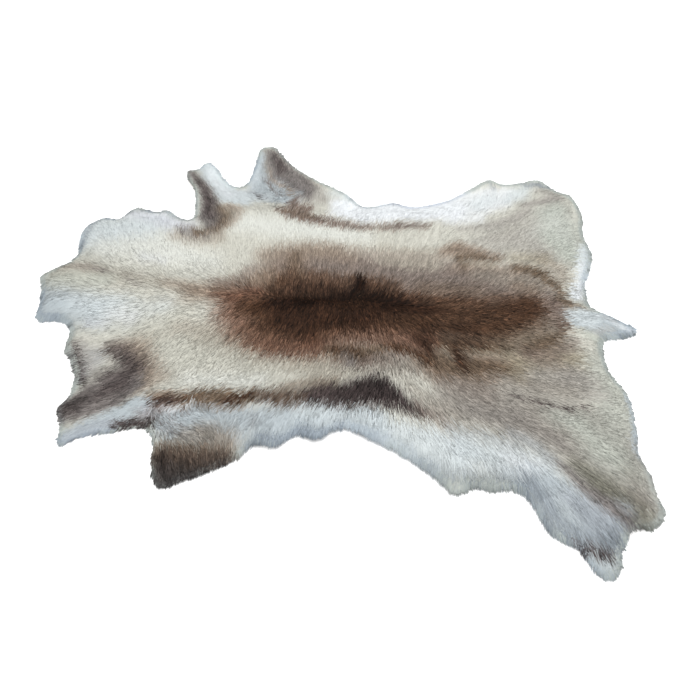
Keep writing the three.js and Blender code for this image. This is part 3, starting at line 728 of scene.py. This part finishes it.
def wool():
    """Crimped wool: matt and soft, with a fine felted grain, and painted shade that darkens its hollows."""
    # the grain both raises the wool and darkens its low places: painted shade in the hollows
    material, shader, grain = coat_material("wool", grain_size=3 * MM, detail=3, darkest=0.85, palest=1.05)
    relief = add_node(material, "ShaderNodeBump", {"Distance": 1.5 * MM}, Height=grain)
    material.node_tree.links.new(shader.inputs["Normal"], relief.outputs["Normal"])
    shader.inputs["Roughness"].default_value = 0.95
    return material


wool_sheet = trimmed_grid(UNDERCOAT_CELL)
lay(wool_sheet.verts, lambda x, y: read_map(skin_height, x, y) + SKIN_THICKNESS + UNDERCOAT_GAP)
raised(wool_sheet, undercoat_height)
undercoat = object_from(wool_sheet, "undercoat", wool())
undercoat.data.shade_smooth()
paint(undercoat, coat_colour(*places_of(undercoat.data.vertices)))
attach(undercoat, "root")


# Guard hair. Reindeer hair is hollow, brittle and matt, and lies back from a parting along the spine, out
# over the flanks and along the legs. Each hair is one closed sliver that rises from the skin and bends over.
# Real hairs are 0.3 mm thick, so these are drawn coarser and fewer, as coarse as they need to be to show.
HAIR_COUNT = 205000
FRINGE_COUNT = 22000
FRINGE_BREADTH = 14 * MM
HAIR_PIECES = ("hair_neck", "hair_shoulders", "hair_back", "hair_loin", "hair_rump")  # equal in number
ROOT_SHARE = 0.6  # how far up through the skin a hair is drawn from
BEND_SHARE = 0.28  # place of a hair's bend along its reach, past which it lies along the coat
EDGE_BREADTH = 45 * MM  # border where hairs turn outward and gather in pointed tufts
EDGE_LEAN = 0.45  # how far they turn outward at the cut, as a share of their own way
FRINGE_LEAN = 0.3  # how much more the fringe does
TUFT_SIZE = 10 * MM
TUFT_WANDER = 0.2  # how far a tuft's middle strays, as a share of its size
TUFT_TABLE = 256  # tufts in a row before their chance values come round again
TUFT_REACH = 0.12  # how much tufts at the cut differ in reach
LOCK_REACH = 0.05  # how much broad locks do
LEAST_REACH = 0.3  # share of its reach that a hair keeps, where it stands up or would pass the rim
EDGE_GATHER = 0.45  # share of its way to its tuft's middle that a tip moves at the cut
TIP_SHORT_OF_RIM = 1.5 * MM
TIP_RAGGED = 2.4 * MM  # how unevenly single hairs end at the rim
TUFT_RAGGED = 1.6 * MM  # how unevenly tufts do
TIP_LOWEST = 0.8 * MM
DROOP_BREADTH = 20 * MM  # border where tips sink towards the floor
DROOP_AT_RIM = 0.3  # share of its height that a tip over the rim keeps
DROOP_MOST = 0.15  # and one past it
BEND_BELOW = 0.05  # how far below the tip's layer the bend lies, as a share of the coat's depth
LAYER_SPREAD = 0.11  # how far below the coat's surface the lowest hairs end, as a share of its depth
ROLL_SPREAD = 16  # degrees that a sliver is rolled from lying flat
RIM_SHADE = np.array([0.11, 0.095, 0.07])  # painted shade: towards the cut the hair is darkened and cooled, where the coat rolls down and faces away from the light
RIM_SHADE_BREADTH = 14 * MM
COAT_FACING = 0.85  # share of the coat's own facing in a hair's shading
DRIFT_SHARE = 0.6  # how far along its reach a hair's colour is taken
SLIP = 3 * MM  # how far to one side it is taken, by chance for each hair
PATCH_SLIP = 1.5 * MM  # and by patches of the next size
SLIP_PATCH = 30 * MM
TONE_SPREAD = 0.34  # how much single hairs differ in tone where the coat is darkest
CORNER_TONES = np.array([0.92, 1, 1, 1.02])[:, None]  # a hair's root is darkened as painted shade deep in the coat, and its tip is paler

# The way the hair lies: places x, y in millimetres, and the way from root to tip in degrees from +X to +Y.
COMB = (
    # right of the neck and throat
    (-637, 107, 150), (-598, 168, 125), (-583, 43, 150), (-526, 195, 118), (-504, 91, 125),
    (-457, 195, 112), (-437, 92, 118), (-465, 23, 150), (-389, 152, 105), (-369, 44, 112), (-292, 95, 105),
    (-330, -5, 165),
    # along the neck
    (-654, -1, 172), (-542, -6, 170), (-436, -16, 175), (-263, -37, 180),
    # left of the neck and throat
    (-623, -74, 205), (-598, -111, 215), (-524, -114, 190), (-466, -75, 200), (-447, -142, 205),
    (-515, -204, 190), (-476, -248, 195), (-369, -102, 235), (-322, -150, 240), (-401, -208, 228),
    (-393, -255, 215),
    # left foreleg
    (-444, -304, 208), (-479, -336, 212), (-431, -354, 205), (-360, -330, 200), (-330, -345, 186),
    # shoulders and back
    (-195, 107, 100), (-194, 38, 115), (-96, 87, 95), (-96, 9, 92), (2, 87, 90), (2, 10, 88), (100, 97, 84),
    (110, 28, 75), (199, 107, 68), (199, 28, 50), (297, 87, 58), (297, 13, 30), (395, 77, 50),
    (395, -1, 10), (474, 67, 35), (494, -11, 4), (-195, -110, 248), (-195, -70, 235), (-96, -119, 256),
    (-97, -55, 262), (2, -119, 266), (2, -50, 268), (100, -119, 278), (100, -51, 285), (199, -120, 300),
    (199, -55, 318), (297, -120, 318), (297, -60, 335), (395, -119, 332), (395, -60, 350), (474, -90, 345),
    # right flank and belly
    (-244, 185, 100), (-116, 185, 96), (2, 185, 90), (100, 185, 80), (199, 185, 62), (297, 166, 50),
    (-57, 229, 60), (51, 224, 45), (179, 234, 40), (-37, 313, 92), (60, 298, 84), (160, 318, 75),
    (260, 349, 70), (330, 400, 82), (389, 427, 88), (459, 428, 80), (297, 264, 58),
    # left flank and belly
    (-293, -208, 242), (-175, -218, 246), (-47, -208, 250), (61, -194, 255), (149, -184, 275),
    (218, -209, 300), (-273, -291, 208), (-176, -273, 214), (-57, -267, 238), (22, -244, 244),
    (100, -229, 250), (149, -229, 272), (208, -259, 300), (-58, -323, 252), (0, -311, 262), (80, -306, 268),
    (150, -331, 265), (248, -365, 266), (299, -401, 270), (359, -391, 272), (409, -391, 280),
    (286, -308, 318), (375, -336, 300),
    # right haunch, rump and hind leg
    (395, 186, 48), (445, 257, 48), (513, 186, 38), (515, 288, 42), (555, 368, 35), (510, 430, 70),
    (600, 299, 22), (609, 198, 14), (580, 99, 8), (553, 49, 355),
    # left haunch and hind leg
    (316, -209, 325), (395, -238, 334), (395, -178, 338), (494, -227, 345), (455, -306, 330),
    (544, -325, 326), (584, -384, 320), (629, -400, 322), (629, -251, 350), (609, -151, 352),
    (578, -93, 352), (554, -207, 350), (445, -374, 312), (450, -440, 300), (518, -471, 300),
    (546, -432, 310), (475, -404, 305),
    # tail
    (551, -13, 0), (614, -19, 352), (667, -28, 345),
    # left elbow flap
    (-288, -337, 344), (-236, -334, 350), (-196, -324, 330), (-280, -380, 300), (-237, -412, 296),
    (-180, -400, 284), (-130, -360, 268), (-136, -305, 240),
    # right elbow flap, with its whorl
    (-235, 491, 98), (-190, 446, 112), (-250, 419, 96), (-256, 351, 100), (-211, 339, 128), (-177, 354, 60),
    (-147, 322, 12), (-161, 291, 330), (-201, 293, 200), (-117, 358, 112), (-90, 368, 118), (-126, 275, 80),
    (-226, 288, 165),
    # right foreleg
    (-435, 375, 126), (-394, 298, 120), (-338, 212, 112), (-391, 397, 118), (-330, 325, 132),
    (-285, 289, 150),
)
COMB_SPREAD = 24  # breadth over which one place's way passes into the next


def comb_map():
    """The way the hair lies over the maps' area, shorter where neighbouring ways disagree and hair stands."""
    way_x, way_y, total = np.zeros(node_x.shape), np.zeros(node_x.shape), np.zeros(node_x.shape)
    for place_x, place_y, degrees in COMB:
        away = (node_x / MM - place_x) ** 2 + (node_y / MM - place_y) ** 2
        pull = 1 / (away + COMB_SPREAD**2) ** 2
        way_x += pull * math.cos(math.radians(degrees))
        way_y += pull * math.sin(math.radians(degrees))
        total += pull
    return way_x / total, way_y / total


comb_x, comb_y = comb_map()


def unit(x, y):
    """Ways brought to a length of 1, and the length that they had."""
    length = np.hypot(x, y) + 1e-9
    return x / length, y / length, length


def combed(x, y):
    """The way the hair lies at points, and how well it is agreed on there, up to 1."""
    return unit(read_map(comb_x, x, y), read_map(comb_y, x, y))


def locks(step, run):
    """A map of chance values dragged out along the hair into locks: about 0, with a spread of 1."""
    columns, rows = [np.linspace(m[0], m[-1], round((m[-1] - m[0]) / step)) for m in (map_x, map_y)]
    x, y = np.meshgrid(columns, rows, indexing="ij")
    grain = chance.standard_normal(x.shape)
    total = grain.copy()
    for way in (1, -1):
        along_x, along_y = x, y
        for _ in range(round(run / step / 2)):
            move_x, move_y, _agreed = combed(along_x, along_y)
            along_x, along_y = along_x + way * step * move_x, along_y + way * step * move_y
            total += read_map(grain, along_x, along_y)
    return total / total.std()


def scattered_roots():
    """Roots spread evenly over the leather, each moved by chance within its own share of the area."""
    area = (rim_depth > 0).sum() * MAP_STEP**2
    step = math.sqrt(area / HAIR_COUNT)
    x, y = np.meshgrid(np.arange(low.x, high.x, step), np.arange(low.y, high.y, step))
    x = x.ravel() + chance.uniform(-0.5, 0.5, x.size) * step
    y = y.ravel() + chance.uniform(-0.5, 0.5, y.size) * step
    keep = read_map(rim_depth, x, y) > patched("overhang", x, y)
    return x[keep], y[keep]


def fringe_roots():
    """More roots in a narrow band along the leather's cut, where the hair hangs over it."""
    length = np.hypot(rim[:, 2] - rim[:, 0], rim[:, 3] - rim[:, 1])
    edge = chance.choice(len(rim), FRINGE_COUNT, p=length / length.sum())
    share = chance.uniform(0, 1, FRINGE_COUNT)
    x = rim[edge, 0] + share * (rim[edge, 2] - rim[edge, 0])
    y = rim[edge, 1] + share * (rim[edge, 3] - rim[edge, 1])
    across_x, across_y = rim[edge, 3] - rim[edge, 1], rim[edge, 0] - rim[edge, 2]
    inset = (patched("overhang", x, y) + chance.uniform(0, FRINGE_BREADTH, FRINGE_COUNT)) / length[edge]
    tried = read_map(rim_depth, x + across_x * inset, y + across_y * inset)
    inward = np.where(tried > 0, 1, -1) * inset
    x, y = x + across_x * inward, y + across_y * inward
    keep = read_map(rim_depth, x, y) > TIP_SHORT_OF_RIM
    return x[keep], y[keep]


def fall(values, x, y):
    """How much a map falls in x and in y around points, over two of its steps."""
    fall_x = read_map(values, x - MAP_STEP, y) - read_map(values, x + MAP_STEP, y)
    fall_y = read_map(values, x, y - MAP_STEP) - read_map(values, x, y + MAP_STEP)
    return fall_x, fall_y


fine_locks = locks(2 * MM, 15 * MM)
broad_locks = locks(5 * MM, 50 * MM)

body_x, body_y = scattered_roots()
edge_x, edge_y = fringe_roots()
root_x, root_y = np.concatenate([body_x, edge_x]), np.concatenate([body_y, edge_y])
count = len(root_x)
in_fringe = np.arange(count) >= len(body_x)
fine, broad = read_map(fine_locks, root_x, root_y), read_map(broad_locks, root_x, root_y)
rim_away = read_map(rim_depth, root_x, root_y)


def chance_mix(own, in_fine, in_broad):
    """A chance value for each hair: its own, its fine lock's and its broad lock's, by these weights."""
    return own * chance.standard_normal(count) + in_fine * fine + in_broad * broad


# Towards the cut edge hairs gather in pointed tufts, and turn outward.
tuft_column = np.floor(root_x / TUFT_SIZE).astype(int)
tuft_row = np.floor(root_y / TUFT_SIZE + 0.5 * (tuft_column % 2)).astype(int)
tuft = chance.standard_normal((TUFT_TABLE, TUFT_TABLE, 3))[tuft_column % TUFT_TABLE, tuft_row % TUFT_TABLE]
tuft_x = (tuft_column + 0.5 + TUFT_WANDER * tuft[:, 0]) * TUFT_SIZE
tuft_y = (tuft_row + 0.5 - 0.5 * (tuft_column % 2) + TUFT_WANDER * tuft[:, 1]) * TUFT_SIZE
edge_share = np.clip(1 - rim_away / EDGE_BREADTH, 0, 1)

way_x, way_y, agreed = combed(root_x, root_y)
out_x, out_y, _steepness = unit(*fall(rim_depth, root_x, root_y))
lean = EDGE_LEAN * edge_share + FRINGE_LEAN * in_fringe
way_x, way_y = way_x + out_x * lean, way_y + out_y * lean
turn = np.radians(chance_mix(own=9, in_fine=2.5, in_broad=1.5))
way_x, way_y = way_x * np.cos(turn) - way_y * np.sin(turn), way_x * np.sin(turn) + way_y * np.cos(turn)
way_x, way_y, _length = unit(way_x, way_y)

reach = patched("reach", root_x, root_y) * chance.uniform(0.75, 1.15, count) * (1 + LOCK_REACH * broad)
reach *= np.clip(0.25 + agreed, LEAST_REACH, 1) * (1 + TUFT_REACH * tuft[:, 2] * edge_share)
tip_away = read_map(rim_depth, root_x + way_x * reach, root_y + way_y * reach)
limit = TIP_SHORT_OF_RIM + TIP_RAGGED * chance.standard_normal(count) + TUFT_RAGGED * tuft[:, 2]
over = tip_away < limit
reach[over] *= np.clip(((rim_away - limit) / (rim_away - tip_away + 1e-6))[over], LEAST_REACH, 1)
gather = EDGE_GATHER * edge_share
tip_x, tip_y = root_x + way_x * reach, root_y + way_y * reach
tip_x, tip_y = tip_x + gather * (tuft_x - root_x), tip_y + gather * (tuft_y - root_y)
bend_x, bend_y = root_x + BEND_SHARE * (tip_x - root_x), root_y + BEND_SHARE * (tip_y - root_y)

# A hair is rooted within the skin, and bends and ends a little under the coat's surface.
root_z = read_map(skin_height, root_x, root_y) + SKIN_THICKNESS * ROOT_SHARE
layer = 1 - LAYER_SPREAD * chance.uniform(0, 1, count) ** 1.5 + 0.01 * broad
droop = np.clip(DROOP_AT_RIM + read_map(rim_depth, tip_x, tip_y) / DROOP_BREADTH, DROOP_MOST, 1)
bend_z = root_z + (read_map(hair_height, bend_x, bend_y) - root_z) * (layer - BEND_BELOW)
tip_z = root_z + (read_map(hair_height, tip_x, tip_y) - root_z) * layer * droop
tip_z = np.maximum(tip_z, TIP_LOWEST)


def normalised(rows):
    """Vectors, one to a row, brought to a length of 1."""
    return rows / np.linalg.norm(rows, axis=1)[:, None]


root = np.column_stack([root_x, root_y, root_z])
tip = np.column_stack([tip_x, tip_y, tip_z])
bend = np.column_stack([bend_x, bend_y, bend_z])
along = normalised(tip - bend)
level = normalised(np.column_stack([-along[:, 1], along[:, 0], np.zeros(count)]))
above = np.cross(along, level)
roll = np.radians(chance.normal(0, ROLL_SPREAD, count))[:, None]
side = level * np.cos(roll) + above * np.sin(roll)
half = (patched("width", root_x, root_y) * chance.uniform(0.8, 1.2, count) / 2)[:, None]

# Hair lies so close that light meets the coat's surface more than the single hair's, so each hair is shaded
# mostly by the way that the coat faces.
facing = normalised(np.column_stack([*fall(hair_height, bend_x, bend_y), np.full(count, 2 * MAP_STEP)]))
facing = COAT_FACING * facing + (1 - COAT_FACING) * np.cross(along, side)

# A hair's colour is taken a little up or down its lie and off to one side, so markings end in combed streaks.
drift = chance_mix(own=6, in_fine=2, in_broad=1) * MM + DRIFT_SHARE * reach
slip = SLIP * chance.standard_normal(count) + PATCH_SLIP * unevenness(root_x, root_y, SLIP_PATCH)
colour = coat_colour(root_x + way_x * drift - way_y * slip, root_y + way_y * drift + way_x * slip)
variety = TONE_SPREAD * (1 - colour.mean(1)) ** 1.5
tone = 1 + variety * chance_mix(own=0.9, in_fine=0.45, in_broad=0.15)
# Painted shade along the cut: the hair's colour is darkened towards the rim, where the coat rolls down.
near_rim = np.clip(1 - read_map(rim_depth, tip_x, tip_y) / RIM_SHADE_BREADTH, 0, 1)[:, None]
colour = colour * tone[:, None] * (1 - RIM_SHADE * near_rim**2)


def hair_shader():
    """Guard hair: hollow and chalky, so matt and bright, with hardly any gloss and a slightly uneven tone."""
    material, shader, _bands = coat_material(
        "guard_hair", grain_size=5 * MM, detail=2, darkest=0.95, palest=1.03
    )
    shader.inputs["Roughness"].default_value = 0.6
    return material


guard_hair = hair_shader()
SLIVER = np.array([[0, 2, 1], [0, 1, 3], [0, 3, 2], [1, 2, 3]])  # faces between root, left, right and tip
SLIVER_CELL = np.array([[0.05, 0.5], [0.4, 0.95], [0.4, 0.05], [0.95, 0.5]])  # in its cell of the UV map


def hair_piece(name, chosen):
    """One mesh of the chosen hairs. A sliver has a root, a left and a right corner at its bend, and a tip."""
    number = len(chosen)
    corners = np.stack(
        [root[chosen], (bend + side * half)[chosen], (bend - side * half)[chosen], tip[chosen]], axis=1
    )
    faces = (np.arange(number)[:, None, None] * 4 + SLIVER).reshape(-1, 3)
    mesh = bpy.data.meshes.new(name)
    mesh.vertices.add(4 * number)
    mesh.vertices.foreach_set("co", corners.astype(np.float32).ravel())
    mesh.loops.add(faces.size)
    mesh.loops.foreach_set("vertex_index", faces.astype(np.int32).ravel())
    mesh.polygons.add(len(faces))
    mesh.polygons.foreach_set("loop_start", np.arange(0, faces.size, 3, dtype=np.int32))
    mesh.update(calc_edges=True)
    columns = math.ceil(math.sqrt(number))
    cells = np.stack([np.arange(number) % columns, np.arange(number) // columns], axis=1)[:, None]
    places = ((cells + SLIVER_CELL) / columns).reshape(-1, 2)
    unwrapped = mesh.uv_layers.new(name="OFBake").uv
    unwrapped.foreach_set("vector", places[faces.ravel()].astype(np.float32).ravel())
    mesh.shade_smooth()
    mesh.normals_split_custom_set_from_vertices(np.repeat(facing[chosen], 4, axis=0))
    mesh.materials.append(guard_hair)
    made = in_scene(name, mesh)
    paint(made, (colour[chosen][:, None] * CORNER_TONES).reshape(-1, 3))
    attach(made, "root")
    return made


from_neck = np.array_split(np.argsort(root_x, kind="stable"), len(HAIR_PIECES))
hair = [hair_piece(name, chosen) for name, chosen in zip(HAIR_PIECES, from_neck)]


# Floor, light and camera. A plain pale floor under a soft overcast of light, brighter from the far side, and
# a camera that stands at the near side of the hide and looks down on it.
FLOOR_REACH = 30  # metres each way
FLOOR_GAP = 0.2 * MM  # the floor is this far below the leather, so that the two don't coincide
SKY_STRENGTH = 0.95
PICTURE_WIDTH = 700  # pixels
FOCAL_LENGTH = 505  # pixels
PICTURE_DROP = 60  # pixels that the view is shifted by
SENSOR_WIDTH = 36
CAMERA_PLACE = (0.1184, -0.6647, 0.958)
CAMERA_TILT = math.radians(36)  # from straight down
CAMERA_TURN = math.radians(6)

floor_shape = bmesh.new()
below = Matrix.Translation((0, 0, -FLOOR_GAP))
bmesh.ops.create_grid(floor_shape, x_segments=1, y_segments=1, size=FLOOR_REACH, matrix=below)
floor_paint, floor_shader = start_material("floor_paint")
floor_shader.inputs["Base Color"].default_value = linear("#fcfcfc")
floor_shader.inputs["Roughness"].default_value = 0.9
floor = object_from(floor_shape, "floor", floor_paint)

sky = bpy.data.worlds.new("sky")
sky.use_nodes = True
sky.node_tree.nodes["Background"].inputs["Color"].default_value = linear("#ffffff")
sky.node_tree.nodes["Background"].inputs["Strength"].default_value = SKY_STRENGTH
bpy.context.scene.world = sky


def soft_light(name, place, width, power):
    """A square light of that width in metres and power in watts, aimed at the middle of the hide."""
    lamp = bpy.data.lights.new(name, "AREA")
    lamp.size = width
    lamp.energy = power
    light = in_scene(name, lamp)
    light.location = place
    light.rotation_euler = Vector(place).to_track_quat("Z", "Y").to_euler()


soft_light("window", place=(0.4, 1.6, 2.6), width=1.8, power=60)
soft_light("ceiling", place=(0, -0.4, 3.0), width=2.4, power=68)

camera_data = bpy.data.cameras.new("camera")
camera_data.sensor_width = SENSOR_WIDTH
camera_data.lens = SENSOR_WIDTH * FOCAL_LENGTH / PICTURE_WIDTH
camera_data.shift_y = -PICTURE_DROP / PICTURE_WIDTH
camera = in_scene("camera", camera_data)
camera.location = CAMERA_PLACE
camera.rotation_euler = (CAMERA_TILT, 0, CAMERA_TURN)
bpy.context.scene.camera = camera
bpy.context.scene.view_settings.view_transform = "Standard"
